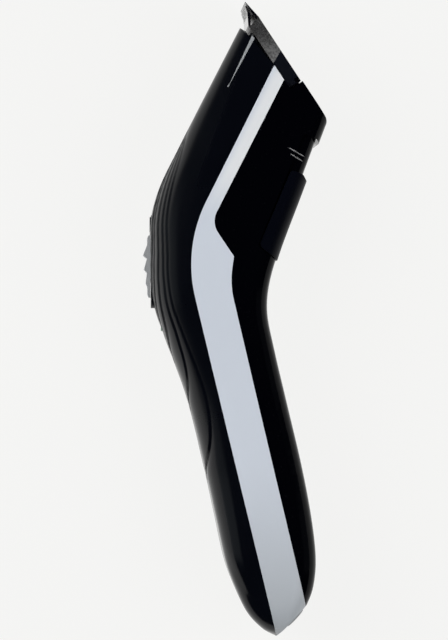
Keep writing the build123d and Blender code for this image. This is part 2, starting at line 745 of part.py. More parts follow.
with BuildPart() as rotor_core:
    with BuildSketch(DRIVE.offset(MOTOR_FRONT + 6)):
        Circle(9.2)
        with PolarLocations(5.4, 3):
            Circle(2.7, mode=Mode.SUBTRACT)
        with PolarLocations(8.2, 3):
            Rectangle(4.0, 1.8, mode=Mode.SUBTRACT)
        Circle(SHAFT, mode=Mode.SUBTRACT)
    extrude(amount=14)
save(rotor_core.part, "rotor_core")

with BuildPart() as rotor_windings:
    with BuildSketch(DRIVE.offset(MOTOR_FRONT + 4.4)):
        with PolarLocations(5.4, 3):
            Circle(2.6)
    extrude(amount=17.2)
    fillet(rotor_windings.edges().filter_by(GeomType.CIRCLE), 1.0)
save(rotor_windings.part, "rotor_windings")

with BuildPart() as commutator:
    with BuildSketch(DRIVE.offset(MOTOR_BACK - 4.6)):
        Circle(2.85)
        Circle(SHAFT, mode=Mode.SUBTRACT)
        with PolarLocations(2.8, 3):
            Rectangle(1.2, 0.4, mode=Mode.SUBTRACT)
    extrude(amount=4.0)
save(commutator.part, "commutator")

with BuildPart() as eccentric_cam:
    with BuildSketch(DRIVE.offset(6.2)):
        Circle(4.0)
    extrude(amount=3.2)
    with BuildSketch(DRIVE.offset(7.0)):
        Circle(SHAFT)
    extrude(amount=4, mode=Mode.SUBTRACT)
    with BuildSketch(DRIVE.offset(5.0)):
        with Locations((0, ORBIT)):
            Circle(PIN_RADIUS)
    extrude(amount=1.9, mode=Mode.SUBTRACT)
save(eccentric_cam.part, "eccentric_cam")

with BuildPart() as drive_pin:
    with BuildSketch(DRIVE.offset(0.8)):
        with Locations((0, ORBIT)):
            Circle(PIN_RADIUS)
    extrude(amount=6.1)
    fillet(drive_pin.edges().sort_by(Axis.Y)[-1], 0.3)
save(drive_pin.part, "drive_pin")

# ---- battery ----
CELL_SPREAD = CELL_RADIUS + 0.35
with BuildPart() as battery_cells:
    with BuildSketch(HANDLE):
        with GridLocations(2 * CELL_SPREAD, 1, 2, 1):
            Circle(CELL_RADIUS)
    extrude(amount=CELL_LENGTH)
    with BuildSketch(HANDLE.offset(-0.9)):
        with GridLocations(2 * CELL_SPREAD, 1, 2, 1):
            Circle(2.4)
    extrude(amount=0.9)
save(battery_cells.part, "battery_cells")

with BuildPart() as battery_cradle:
    with BuildSketch(HANDLE.offset(-2.8)):
        with Locations((0, -2.8)):
            RectangleRounded(31.6, 11.8, 2.0)
    extrude(amount=CELL_LENGTH + 5.4)
    with BuildSketch(HANDLE.offset(-1.5)):
        with GridLocations(2 * CELL_SPREAD, 1, 2, 1):
            Circle(CELL_RADIUS + 0.1)
        with Locations((0, 2.6)):
            Rectangle(16, 6)
    extrude(amount=CELL_LENGTH + 2.8, mode=Mode.SUBTRACT)
    with BuildSketch(HANDLE.offset(CELL_LENGTH)):
        RectangleRounded(21.2, 7.2, 1.5)
    extrude(amount=0.8, mode=Mode.SUBTRACT)
save(battery_cradle.part, "battery_cradle")

with BuildPart() as battery_contacts:
    with BuildSketch(HANDLE.offset(-1.4)):
        with GridLocations(2 * CELL_SPREAD, 1, 2, 1):
            RectangleRounded(7.0, 9.0, 1.0)
    extrude(amount=0.35)
    with BuildSketch(HANDLE.offset(CELL_LENGTH + 0.1)):
        RectangleRounded(21.0, 7.0, 1.5)
    extrude(amount=0.4)
save(battery_contacts.part, "battery_contacts")

# ---- inlet in the sloping base ----
INLET_RIM = 1.6
INLET_DEPTH = 10.0
with BuildPart() as inlet_socket:
    with BuildSketch(INLET.offset(-12.5)):
        Circle(4.6)
    extrude(amount=12.5 - WALL - 0.1)
    with BuildSketch(INLET.offset(-WALL - 0.2)):
        Circle(3.3)
    extrude(amount=WALL + 0.2 + INLET_RIM)
    fillet(inlet_socket.edges().filter_by(GeomType.CIRCLE).sort_by(Axis.Y)[0], 0.4)
    with BuildSketch(INLET.offset(INLET_RIM - INLET_DEPTH)):
        Circle(INLET_RADIUS)
    extrude(amount=INLET_DEPTH + 1, mode=Mode.SUBTRACT)
    with BuildSketch(INLET.offset(-14)):
        with GridLocations(2.6, 1, 2, 1):
            Circle(0.5)
    extrude(amount=8, mode=Mode.SUBTRACT)
save(inlet_socket.part, "inlet_socket")

with BuildPart() as inlet_contacts:
    with BuildSketch(INLET.offset(-14)):
        with GridLocations(2.6, 1, 2, 1):
            Circle(0.48)
    extrude(amount=14 + INLET_RIM - INLET_DEPTH - 0.2)
save(inlet_contacts.part, "inlet_contacts")
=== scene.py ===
"""Finish and presentation of a cordless hair clipper, laid out as an add-on and run as a script."""
import json
from math import cos, pi, radians, sin

import bpy
import numpy as np
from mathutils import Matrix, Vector


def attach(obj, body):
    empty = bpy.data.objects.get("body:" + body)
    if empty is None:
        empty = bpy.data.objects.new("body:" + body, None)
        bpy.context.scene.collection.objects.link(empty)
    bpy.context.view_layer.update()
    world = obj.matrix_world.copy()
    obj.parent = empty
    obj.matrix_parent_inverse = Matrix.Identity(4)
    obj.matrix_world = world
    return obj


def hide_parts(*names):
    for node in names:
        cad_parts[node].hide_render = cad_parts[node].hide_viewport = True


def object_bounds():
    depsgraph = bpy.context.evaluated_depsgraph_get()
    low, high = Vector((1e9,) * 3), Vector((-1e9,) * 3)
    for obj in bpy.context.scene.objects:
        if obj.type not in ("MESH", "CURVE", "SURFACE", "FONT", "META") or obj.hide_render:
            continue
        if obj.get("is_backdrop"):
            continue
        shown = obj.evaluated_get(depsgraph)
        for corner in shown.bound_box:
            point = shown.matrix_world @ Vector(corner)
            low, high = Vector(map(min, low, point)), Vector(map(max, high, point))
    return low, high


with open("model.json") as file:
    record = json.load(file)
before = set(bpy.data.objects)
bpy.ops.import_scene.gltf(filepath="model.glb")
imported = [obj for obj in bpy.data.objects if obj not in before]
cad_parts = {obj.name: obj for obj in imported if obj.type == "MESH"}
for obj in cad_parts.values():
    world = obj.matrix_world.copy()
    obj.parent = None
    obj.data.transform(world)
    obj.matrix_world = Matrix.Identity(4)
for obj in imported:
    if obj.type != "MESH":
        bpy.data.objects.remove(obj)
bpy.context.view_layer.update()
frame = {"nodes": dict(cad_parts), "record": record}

bl_info = {
    "name": "Hair Clipper Finish",
    "version": (1, 0, 0),
    "blender": (4, 5, 0),
    "location": "View3D > Sidebar > Clipper",
    "description": "Builds the visible shells and finishes of a cordless hair clipper",
    "category": "Add Mesh",
}

MM = 0.001
MID = 23.0                       # height of the middle plane, mm
# height, front, back, half width, front corner radius, back corner radius, mm
STATIONS = np.array((
    (92.0, 6.2, 39.8, 21.2, 5.0, 5.0),
    (76.0, -2.0, 33.8, 22.5, 6.0, 5.5),
    (62.0, -9.2, 28.5, 23.0, 8.0, 6.0),
    (48.0, -16.3, 23.2, 23.0, 10.5, 6.0),
    (38.0, -21.1, 19.5, 23.0, 12.0, 6.0),
    (29.0, -23.5, 16.1, 23.0, 12.5, 6.0),
    (20.0, -23.7, 12.7, 23.0, 12.5, 6.0),
    (11.5, -23.6, 10.2, 22.95, 12.5, 6.0),
    (4.0, -22.6, 9.2, 22.7, 12.5, 6.0),
    (-5.0, -19.5, 10.6, 22.2, 12.0, 6.0),
    (-22.0, -13.3, 14.6, 21.4, 11.5, 6.5),
    (-42.0, -8.3, 19.3, 21.5, 11.0, 6.5),
    (-58.0, -4.8, 22.2, 22.4, 10.0, 6.5),
    (-69.0, -2.4, 23.15, 22.9, 9.0, 6.5),
    (-77.0, 0.6, 22.1, 22.8, 8.0, 6.0),
    (-83.5, 3.9, 19.4, 21.6, 6.0, 5.0),
    (-88.0, 8.3, 17.6, 18.5, 4.0, 3.0),
    (-90.06, 12.0, 16.8, 14.0, 2.2, 1.6),
))
CORNER_SHARE = 0.9               # most of the body's depth that its two corner arcs take
LEAST_RADIUS = 0.6               # corner radius of a surface moved inwards, at least
CUT_POINT, CUT_ANGLE = (4.0, 82.9), -56.55       # cutting plane, down from the blades
BASE_TIP, BASE_ANGLE = (11.97, -90.06), 47.1     # sloping base, up from the tip
INLET_POINT, INLET_ANGLE = (16.95, -84.7), -42.9  # where the inlet's axis leaves the base
INLET_HOLE, INLET_REACH = 3.4, 6.0               # radius and half length of its hole

# the front shell's grid of points, and the switch opening in it
FRONT_ROWS = 270
OPENING_COLUMNS, SIDE_COLUMNS = 10, 67           # from the middle to the opening's side, and on
OPENING = (4.3, 29.1)            # lowest and highest height of the switch opening
OPENING_HALF = 6.5
TILT_FROM = 40.0                 # height from which the rows tilt towards the seam's end
SEAM_EASE = (0.86, 0.97)         # share of the way to the seam over which relief fades out

# the ripples: visible lower tip, and widest distance from the middle, mm
RIPPLES = ((3.7, 13.2), (-1.7, 15.2), (-8.5, 17.8), (-21.9, 19.9), (-41.9, 21.6))
RIPPLE_DEPTH = 0.5
RIPPLE_TOP, RIPPLE_FADE = 62.0, (50.0, 60.0)     # common upper tip, and where they run out
LEAF_SINK = 4.0                  # a leaf's form ends this far below its visible tip
LEAF_RISE, LEAF_FALL, LEAF_POWER = 5.2, 8.0, 0.8  # how blunt its lower and upper ends are
STEP_WIDTH, STEP_FADE = 0.4, 1.9                 # drop outside an edge, and its slow recovery
LAMP_Y, LAMP_FLAT = -2.0, 2.6    # the charge light, and the flat spot that it sits in

# the soft crease round the chin: its line in the side view
CREASE = ((-62.0, -4.2), (-70.0, -0.9), (-77.0, 2.9), (-83.0, 7.0), (-89.0, 11.9))
CREASE_DEPTH, CREASE_WIDTH = 0.12, 1.1
CREASE_START, CREASE_END = (60.0, 70.0), (84.0, 89.0)  # where it fades, mm below the middle

# the band's rows: level between the fit heights, and moved to its slanting ends beyond
BAND_ROWS, BAND_COLUMNS, BASE_COLUMNS = 230, 27, 41
BAND_TOP, BAND_LOW = 74.0, -86.0
BAND_FIT_TOP, BAND_FIT_LOW = 40.0, -62.0
NOTCH_CORNER_Y, NOTCH_EASE = 18.0, 6.0           # sharp corner in its back edge

SLIDE_POINT, SLIDE_ANGLE = (12.0, 18.2), 69.34   # up the back of the head
TRACK_WIDTH, TRACK_DEPTH, TRACK_LOW = 5.4, 1.3, 38.0  # sunk track of the length slider

INLAY_ROWS, INLAY_COLUMNS, INLAY_WALL = 72, 5, 0.3
# painted highlight: pale wedges where light catches the crease between the front rounding and the
# flat side
HIGHLIGHT_WEDGE = (((4.85, 80.6), (1.85, 74.1), (-2.0, 65.9)),
          ((5.55, 79.6), (2.3, 73.7), (-1.98, 65.86)))
HIGHLIGHT_WEDGE_PROUD, MARK_PROUD = 0.1, 0.03
MARKS = (((15.2, 48.7), (19.7, 46.3)), ((15.7, 47.0), (19.1, 45.0)))
MARK_POINTS = 13                 # along each edge of a mark


# ---- shapes of the body ----
def station_at(y):
    """The columns of STATIONS at heights y, on cubics through the stations. A cubic's slope
    at a station is that of the line between the stations on either side."""
    table = STATIONS[::-1]
    y = np.clip(y, table[0, 0], table[-1, 0])
    i = np.clip(np.searchsorted(table[:, 0], y, side="right") - 1, 0, len(table) - 2)
    before, after = np.maximum(i - 1, 0), np.minimum(i + 2, len(table) - 1)
    step = (table[i + 1, 0] - table[i, 0])[:, None]
    t = ((y - table[i, 0])[:, None]) / step
    rise_0 = (table[i + 1] - table[before]) / (table[i + 1, 0] - table[before, 0])[:, None] * step
    rise_1 = (table[after] - table[i]) / (table[after, 0] - table[i, 0])[:, None] * step
    values = ((2 * t**3 - 3 * t**2 + 1) * table[i] + (t**3 - 2 * t**2 + t) * rise_0
              + (3 * t**2 - 2 * t**3) * table[i + 1] + (t**3 - t**2) * rise_1)
    front, back, half, near, far = values[:, 1:].T
    scale = np.minimum(1.0, CORNER_SHARE * (back - front) / (near + far))
    return front, back, half, near * scale, far * scale


def side_height(x, y, inset=0.0):
    """Height of the body's side above the middle plane: the half width, falling in
    quarter circles towards the front and the back. Inset moves the surface inwards."""
    shape = x.shape
    front, back, half, near, far = (v.reshape(shape) for v in station_at(y.ravel()))
    front, back, half = front + inset, back - inset, half - inset
    near, far = (np.maximum(radius - inset, LEAST_RADIUS) for radius in (near, far))
    over_front = np.clip(near - (x - front), 0, near)
    over_back = np.clip(far - (back - x), 0, far)
    return (half - near + np.sqrt(near**2 - over_front**2)
            - far + np.sqrt(far**2 - over_back**2))


def rounded_path(corners, radii, spacing=0.1, arc_points=24):
    """A polyline with its corners rounded by arcs, as evenly close points. An arc's points
    are blends of the directions to its two ends, weighted by the sines of the two angles."""
    corners = [np.array(c, float) for c in corners]
    points = [corners[0][None]]
    for a, b, c, radius in zip(corners, corners[1:], corners[2:], radii):
        into, out = (a - b) / np.linalg.norm(a - b), (c - b) / np.linalg.norm(c - b)
        if radius == 0:
            points.append(b[None])
            continue
        half_angle = np.arccos(np.clip(into @ out, -1, 1)) / 2
        reach = radius / np.tan(half_angle)
        middle = b + (into + out) / np.linalg.norm(into + out) * radius / np.sin(half_angle)
        start, end = b + into * reach - middle, b + out * reach - middle
        sweep = pi - 2 * half_angle
        t = np.linspace(0, 1, arc_points)[:, None]
        points.append(middle + (start * np.sin((1 - t) * sweep) + end * np.sin(t * sweep))
                      / np.sin(sweep))
    points.append(corners[-1][None])
    path = np.vstack(points)
    length = np.r_[0, np.cumsum(np.linalg.norm(np.diff(path, axis=0), axis=1))]
    at = np.linspace(0, length[-1], int(length[-1] / spacing))
    return np.stack([np.interp(at, length, path[:, k]) for k in range(2)], axis=1)


def x_on(path, y):
    """Where a downward path crosses the heights y."""
    return np.interp(-y, -path[:, 1], path[:, 0])


def line_y(point, angle, x):
    """Height of a straight line through a point at the places x."""
    return point[1] + np.tan(radians(angle)) * (x - point[0])


def crossing(path, point, angle):
    """Height at which a path meets a straight line."""
    gap = path[:, 1] - line_y(point, angle, path[:, 0])
    k = int(np.argmax(np.sign(gap[1:]) != np.sign(gap[:-1])))
    t = gap[k] / (gap[k] - gap[k + 1])
    return float(path[k, 1] + t * (path[k + 1, 1] - path[k, 1]))


# the band's two edges in the side view, from the head down past the base
BAND_FRONT = rounded_path([(21.05, 92.0), (-14.7, 20.5), BASE_TIP, (9.0, -104.0)], [40, 0])
BAND_BACK = rounded_path([(26.1, 92.0), (-6.73, 27.5), (-0.3, 18.0), (-1.4, 10.2),
                          (21.2, -85.4), (24.5, -99.4)], [6, 0, 25, 0])


# ---- meshes ----
def smooth_step(value, low, high):
    """0 below low, 1 above high, a smooth cubic between."""
    t = np.clip((value - low) / (high - low), 0, 1)
    return t * t * (3 - 2 * t)


def grid_faces(rows, columns, keep=None, offset=0):
    """Quads of a grid of points, row by row; keep is a mask of the cells to make."""
    index = np.arange(rows * columns).reshape(rows, columns) + offset
    quads = np.stack([index[:-1, :-1], index[:-1, 1:], index[1:, 1:], index[1:, :-1]], axis=-1)
    return quads[keep] if keep is not None else quads.reshape(-1, 4)


def add_piece(name, points, faces, material):
    """A smooth mesh piece from points in millimetres, riding on the housing."""
    mesh = bpy.data.meshes.new(name)
    mesh.from_pydata((np.asarray(points).reshape(-1, 3) * MM).tolist(), [], faces.tolist())
    mesh.update()
    mesh.materials.append(material)
    mesh.polygons.foreach_set("use_smooth", np.full(len(mesh.polygons), True))
    piece = bpy.data.objects.new(name, mesh)
    bpy.context.scene.collection.objects.link(piece)
    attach(piece, "housing")
    return piece


def wall(piece, thickness, edge=0.12, sharp=50.0):
    """Gives a surface its wall, inwards, and a small round on edges over sharp degrees."""
    solid = piece.modifiers.new("wall", "SOLIDIFY")
    solid.thickness = thickness * MM
    solid.offset = -1
    solid.use_even_offset = True
    solid.use_quality_normals = True
    if edge:
        bevel = piece.modifiers.new("edge", "BEVEL")
        bevel.width = edge * MM
        bevel.segments = 2
        bevel.limit_method = "ANGLE"
        bevel.angle_limit = radians(sharp)


def cut_and_apply(piece, cutter):
    """Cuts a closed shape out of a piece, and applies its modifiers."""
    cut = piece.modifiers.new("cut", "BOOLEAN")
    cut.object, cut.solver = cutter, "EXACT"
    graph = bpy.context.evaluated_depsgraph_get()
    mesh = bpy.data.meshes.new_from_object(piece.evaluated_get(graph))
    piece.modifiers.clear()
    piece.data = mesh
    bpy.data.objects.remove(cutter)


def round_cutter(point, angle, radius, reach, segments=64):
    """A closed round bar in the middle plane, angle degrees from X and reach long to either
    side of a point: a circle of points at each end, closed by one flat face."""
    axis = np.array([cos(radians(angle)), sin(radians(angle)), 0])
    side = np.array([-axis[1], axis[0], 0])
    turn = np.linspace(0, 2 * pi, segments, endpoint=False)[:, None]
    ring = radius * (np.cos(turn) * side + np.sin(turn) * np.array([0, 0, 1]))
    centre = np.array([point[0], point[1], MID])
    points = np.vstack([centre - axis * reach + ring, centre + axis * reach + ring])
    near = np.arange(segments)
    after = np.roll(near, -1)
    sides = np.stack([near, after, after + segments, near + segments], axis=1).tolist()
    mesh = bpy.data.meshes.new("cutter")
    mesh.from_pydata((points * MM).tolist(), [],
                     sides + [near[::-1].tolist(), (near + segments).tolist()])
    cutter = bpy.data.objects.new("cutter", mesh)
    bpy.context.scene.collection.objects.link(cutter)
    return cutter


def front_rows():
    """Heights of the front shell's rows, from the blades down, and how many lie above,
    beside and below the switch opening, whose two ends fall on rows."""
    ends = (CUT_POINT[1], OPENING[1], OPENING[0], BASE_TIP[1])
    spans = -np.diff(ends)
    counts = np.round(spans / spans.sum() * (FRONT_ROWS - 1)).astype(int)
    parts = [np.linspace(start, end, count, endpoint=False)
             for start, end, count in zip(ends, ends[1:], counts)]
    return np.concatenate([*parts, ends[-1:]])[:, None], counts


def front_points():
    """The front shell: each row runs round the section, from the seam on one side over
    the front to the seam on the other. A point's place is its distance s along the row:
    a flat front wall, a quarter circle, then the flat side. Ripples are sunk into it."""
    y, counts = front_rows()
    seam_top = crossing(BAND_FRONT, CUT_POINT, CUT_ANGLE)
    tilt = (CUT_POINT[1] - seam_top) * smooth_step(y, TILT_FROM, CUT_POINT[1])
    front, _, half, near, _ = (column[:, None] for column in station_at(y[:, 0]))
    seam_x = x_on(BAND_FRONT, y - tilt)
    reach = np.maximum(np.hypot(seam_x - front, tilt), 1e-3)
    wall_half, straight = half - near, np.maximum(reach - near, 0)
    total = wall_half + near * np.arccos(np.clip(1 - reach / near, 0, 1)) + straight
    inner = np.linspace(0, OPENING_HALF, OPENING_COLUMNS + 1) + 0 * y
    outer = np.linspace(0, 1, SIDE_COLUMNS + 1)[1:]
    s = np.concatenate([inner, OPENING_HALF + (total - OPENING_HALF) * outer], axis=1)
    turn = np.clip((s - wall_half) / near, 0, pi / 2)
    inward = near * (1 - np.cos(turn)) + np.maximum(s - wall_half - near * pi / 2, 0)
    along = inward / reach
    x = front + (seam_x - front) * along
    relief = ripple_depth(s, y + 0 * s) + crease_depth(x, y + 0 * s)
    depth = relief * (1 - smooth_step(along, *SEAM_EASE))
    row_y = y - tilt * along
    half_here = station_at(row_y.ravel())[2].reshape(row_y.shape)
    height = np.minimum(s, wall_half) + (near - depth + half_here - half) * np.sin(turn)
    x = x + depth * np.cos(turn)
    right = np.stack([x, row_y, MID + height], axis=-1)
    left = np.stack([x, row_y, MID - height], axis=-1)[:, :0:-1]
    return np.concatenate([left, right], axis=1), counts


def ripple_depth(s, y):
    """Depth of the nested leaf-shaped steps. A leaf's edge is s = width * rise * fall, and
    rise and fall are 1 - exp(-(distance / length)^power) from its lower and upper tip. Just
    outside an edge the surface is deep, and it rises again in an exponential."""
    deepest = np.zeros_like(s)
    for tip, width in RIPPLES:
        above = y - tip + LEAF_SINK
        rise = 1 - np.exp(-(np.maximum(above, 0) / LEAF_RISE)**LEAF_POWER)
        fall = 1 - np.exp(-(np.maximum(RIPPLE_TOP - y, 0) / LEAF_FALL)**LEAF_POWER)
        past = np.where(above < 0, np.hypot(s, above), s - width * rise * fall)
        groove = smooth_step(past, 0, STEP_WIDTH) * np.exp(-np.maximum(past, 0) / STEP_FADE)
        deepest = np.maximum(deepest, groove * (1 - smooth_step(y, *RIPPLE_FADE)))
    round_lamp = 1 - np.exp(-(s**2 + (y - LAMP_Y)**2) / LAMP_FLAT**2)
    return RIPPLE_DEPTH * deepest * round_lamp


def crease_depth(x, y):
    """Depth of the soft crease round the chin: a bell curve across a smooth line."""
    line = np.array(CREASE)[::-1]
    across = (x - np.interp(y, line[:, 0], line[:, 1])) / CREASE_WIDTH
    fade = smooth_step(-y, *CREASE_START) * (1 - smooth_step(-y, *CREASE_END))
    return CREASE_DEPTH * np.exp(-across**2) * fade


def band_edge(path, low):
    """Heights along one of the band's edges: even steps from top to base, eased near both
    ends so that the first lies on the cutting plane and the last on the sloping base."""
    y = BAND_TOP - (BAND_TOP - BAND_LOW) * np.linspace(0, 1, BAND_ROWS)
    top = crossing(path, CUT_POINT, CUT_ANGLE)
    return (y + (top - y[0]) * smooth_step(y, BAND_FIT_TOP, BAND_TOP)
            + (low - y[-1]) * smooth_step(-y, -BAND_FIT_LOW, -BAND_LOW))


def band_points():
    """The trim band: one sheet that runs down one side, across the sloping base and up the
    other side. Across it, points go straight from its front seam to its back seam."""
    lower_back = BAND_BACK[BAND_BACK[:, 1] < BAND_FIT_LOW]
    front_y = band_edge(BAND_FRONT, BASE_TIP[1])
    back_y = band_edge(BAND_BACK, crossing(lower_back, BASE_TIP, BASE_ANGLE))
    nearest = back_y[np.argmin(np.abs(back_y - NOTCH_CORNER_Y))]
    bell = np.exp(-((back_y - NOTCH_CORNER_Y) / NOTCH_EASE)**2)
    back_y = back_y + (NOTCH_CORNER_Y - nearest) * bell
    across = np.linspace(0, 1, BAND_COLUMNS)
    x, y = (front[:, None] * (1 - across) + back[:, None] * across
            for front, back in ((x_on(BAND_FRONT, front_y), x_on(BAND_BACK, back_y)),
                                (front_y, back_y)))
    side = np.stack([x, y, side_height(x, y)], axis=-1)
    turn = np.linspace(1, -1, BASE_COLUMNS + 2)[1:-1, None, None]
    base = side[-1] * np.concatenate([np.ones_like(turn), np.ones_like(turn), turn], axis=-1)
    other = side[::-1] * np.array([1, 1, -1])
    sheet = np.concatenate([side, base, other], axis=0)
    sheet[..., 2] += MID
    return sheet


def inlay_points(outline, side, proud):
    """A flat inlay that follows the body's side: straight rows between two edges of the
    side view, lifted to stand proud of the side, and crowned by a parabola across."""
    left, right = (np.array(edge, float) for edge in outline)
    t, across = np.linspace(0, 1, INLAY_ROWS), np.linspace(0, 1, INLAY_COLUMNS)
    at = np.linspace(0, 1, len(left))
    x0, y0, x1, y1 = (np.interp(t, at, edge[:, k])[:, None]
                      for edge in (left, right) for k in (0, 1))
    x, y = x0 + (x1 - x0) * across, y0 + (y1 - y0) * across
    crown = 1 - 0.5 * (2 * across - 1)**2
    inward = ((x - SLIDE_POINT[0]) * -sin(radians(SLIDE_ANGLE))
              + (y - SLIDE_POINT[1]) * cos(radians(SLIDE_ANGLE)))
    sunk = (y > TRACK_LOW) & (inward < TRACK_WIDTH) & (x > 0)
    height = np.where(sunk, side_height(x, y, TRACK_DEPTH), side_height(x, y))
    z = MID + side * (height + proud * crown)
    return np.stack([x, y, z], axis=-1)


def both_sides(name, outlines, proud, material):
    """One piece made of the same inlays on both sides of the body."""
    points, faces, count = [], [], 0
    for side in (1, -1):
        for outline in outlines:
            sheet = inlay_points(outline, side, proud)
            quads = grid_faces(*sheet.shape[:2], offset=count)
            faces.append(quads[:, ::-1] if side > 0 else quads)
            points.append(sheet.reshape(-1, 3))
            count += len(points[-1])
    piece = add_piece(name, np.vstack(points), np.vstack(faces), material)
    wall(piece, INLAY_WALL, edge=0)
    return piece


def stroke(start, end, width):
    """The two long edges of a straight mark with tapered ends: at the share t of its length
    its width goes as (4 t (1 - t))^0.3."""
    start, end = np.array(start), np.array(end)
    along = (end - start) / np.linalg.norm(end - start)
    half = np.array([-along[1], along[0]]) * width / 2
    t = np.linspace(0, 1, MARK_POINTS)[:, None]
    swell = np.clip(4 * t * (1 - t), 0.05, 1)**0.3
    middle = start + (end - start) * t
    return middle - half * swell, middle + half * swell


# ---- shader arithmetic ----
class Val:
    """A shader socket that takes part in Python arithmetic through Math nodes."""

    def __init__(self, net, socket):
        self.net, self.socket = net, socket

    def _math(self, operation, first, second):
        return self.net.node("ShaderNodeMath", {"operation": operation}, i0=first, i1=second)

    def __add__(self, other): return self._math("ADD", self, other)
    def __radd__(self, other): return self._math("ADD", other, self)
    def __sub__(self, other): return self._math("SUBTRACT", self, other)
    def __rsub__(self, other): return self._math("SUBTRACT", other, self)
    def __mul__(self, other): return self._math("MULTIPLY", self, other)
    def __rmul__(self, other): return self._math("MULTIPLY", other, self)
    def __neg__(self): return self._math("MULTIPLY", self, -1.0)

    def between(self, low, high):
        """0 at low, 1 at high, smooth between."""
        return self.net.node("ShaderNodeMapRange", {"interpolation_type": "SMOOTHSTEP"},
                             Value=self, From_Min=low, From_Max=high)


class Net:
    """The node tree of one material."""

    def __init__(self, name):
        self.material = bpy.data.materials.new(name)
        self.material.use_nodes = True
        self.tree = self.material.node_tree
        self.tree.nodes.clear()

    def node(self, kind, settings=None, out=0, **values):
        """Adds a node: its settings first, then each socket's value or link. A socket is
        given by name, with _ for a space, or as i0, i1 for its number."""
        node = self.tree.nodes.new(kind)
        for key, value in (settings or {}).items():
            setattr(node, key, value)
        for key, value in values.items():
            number = key[1:] if key[0] == "i" and key[1:].isdigit() else None
            socket = node.inputs[int(number)] if number else node.inputs[key.replace("_", " ")]
            if isinstance(value, Val):
                self.tree.links.new(value.socket, socket)
            else:
                socket.default_value = value
        return Val(self, node.outputs[out]) if len(node.outputs) else None

    def place(self):
        """Object coordinates."""
        return self.node("ShaderNodeTexCoord", out=3)

    def side_xy(self):
        """Place in the side view, in millimetres."""
        split = self.node("ShaderNodeSeparateXYZ", i0=self.place()).socket.node
        return [Val(self, split.outputs[axis]) * (1 / MM) for axis in (0, 1)]

    def noise(self, scale, detail, rough=0.5, stretch=None):
        """Noise from 0 to 1 with features about 1/scale metres wide."""
        vector = self.place()
        if stretch:
            vector = self.node("ShaderNodeMapping", i0=vector, Scale=stretch)
        return self.node("ShaderNodeTexNoise", Vector=vector, Scale=scale, Detail=detail,
                         Roughness=rough)

    def mix(self, factor, first, second):
        """A colour between two others."""
        return self.node("ShaderNodeMix", {"data_type": "RGBA"}, out=2,
                         i0=factor, i6=first, i7=second)

    def bump(self, height, distance, strength):
        """A normal tipped by a height from 0 to 1, which stands for a distance in metres."""
        return self.node("ShaderNodeBump", Height=height, Distance=distance, Strength=strength)

    def finish(self, **values):
        """Ends the tree in a Principled shader and returns the material."""
        shader = self.node("ShaderNodeBsdfPrincipled", **values)
        self.node("ShaderNodeOutputMaterial", Surface=shader)
        return self.material


def grey(level, blue=0.0):
    """A grey, slightly blue where asked."""
    return (level * (1 - blue), level, level * (1 + blue), 1.0)


# ---- finishes ----
# lines in the side view: where the front turns glossy, and the edge of the band's painted highlight
GLOSS_EDGE = (-7.5, 48.0), (5.4, 82.0)
BAND_HIGHLIGHT_EDGE = (-9.3, 30.0), (18.6, 84.5)


def side_line(net, start, end):
    """How far a point lies to the right of a line in the side view, in millimetres."""
    x, y = net.side_xy()
    (x0, y0), (x1, y1) = start, end
    length = float(np.hypot(x1 - x0, y1 - y0))
    return (x - x0) * ((y1 - y0) / length) - (y - y0) * ((x1 - x0) / length)


def satin_shell(colours):
    """The front: satin and faintly grained on the rounding, gloss beside the band."""
    net = Net("satin_front")
    _, y = net.side_xy()
    gloss = side_line(net, *GLOSS_EDGE).between(-0.6, 1.2) * y.between(36.0, 44.0)
    grain, blotch = net.noise(2600.0, 2.0), net.noise(60.0, 2.0)
    lower = (-y).between(20.0, 60.0)
    rough = (0.25 + 0.05 * blotch + 0.03 * grain - 0.12 * lower) * (1 - gloss) + gloss * 0.12
    colour = net.mix(blotch, colours.front_dark, colours.front_light)
    return net.finish(Base_Color=colour, Roughness=rough,
                      Normal=net.bump(grain * (1 - gloss), 0.00001, 0.5), IOR=1.33)


def gloss_shell(colours):
    """Polished black plastic with the slightest waviness and handling haze."""
    net = Net("black_gloss")
    haze = net.noise(35.0, 4.0)
    dust = net.noise(1500.0, 1.0).between(0.66, 0.78)
    return net.finish(Base_Color=net.mix(dust * 0.06, colours.gloss_black, grey(0.03)),
                      Roughness=0.09 + 0.05 * haze + 0.08 * dust,
                      Normal=net.bump(net.noise(45.0, 1.0), 0.00004, 0.2), IOR=1.16)


def band_lacquer(colours):
    """Silver lacquer: fine metal flake, a lighter painted highlight along its upper back half and
    darker painted shade towards its lower end.
    """
    net = Net("band_lacquer")
    flake, cloud = net.noise(5200.0, 1.0), net.noise(28.0, 2.0)
    _, y = net.side_xy()
    # painted highlight: the band's upper back half is painted lighter, as if light fell on it
    painted_highlight = side_line(net, *BAND_HIGHLIGHT_EDGE).between(-1.6, 1.4) * y.between(28.0, 44.0)
    # painted shade: the band is painted darker towards its lower end
    low = (-y).between(35.0, 92.0)
    colour = net.mix(painted_highlight, net.mix(low, colours.band, colours.band_painted_shade), colours.band_painted_highlight)
    colour = net.mix(cloud * 0.10 + flake * 0.06, colour, grey(0.42, 0.06))
    return net.finish(Base_Color=colour, Roughness=0.46 + 0.10 * flake,
                      Normal=net.bump(flake, 0.000004, 0.3), Coat_Weight=0.25, Coat_Roughness=0.2)


def plain_plastic(name, low, high, rough, metallic=0.0, coat=0.0, ior=1.5):
    """Moulded plastic or paint: two close tones in clouds, and a fine grain."""
    net = Net(name)
    cloud, fine = net.noise(70.0, 4.0), net.noise(1800.0, 2.0)
    return net.finish(Base_Color=net.mix(cloud * 0.6 + fine * 0.4, low, high),
                      Roughness=(rough - 0.05) + 0.1 * cloud, Metallic=metallic,
                      Coat_Weight=coat, IOR=ior, Normal=net.bump(fine, 0.00002, 0.3))


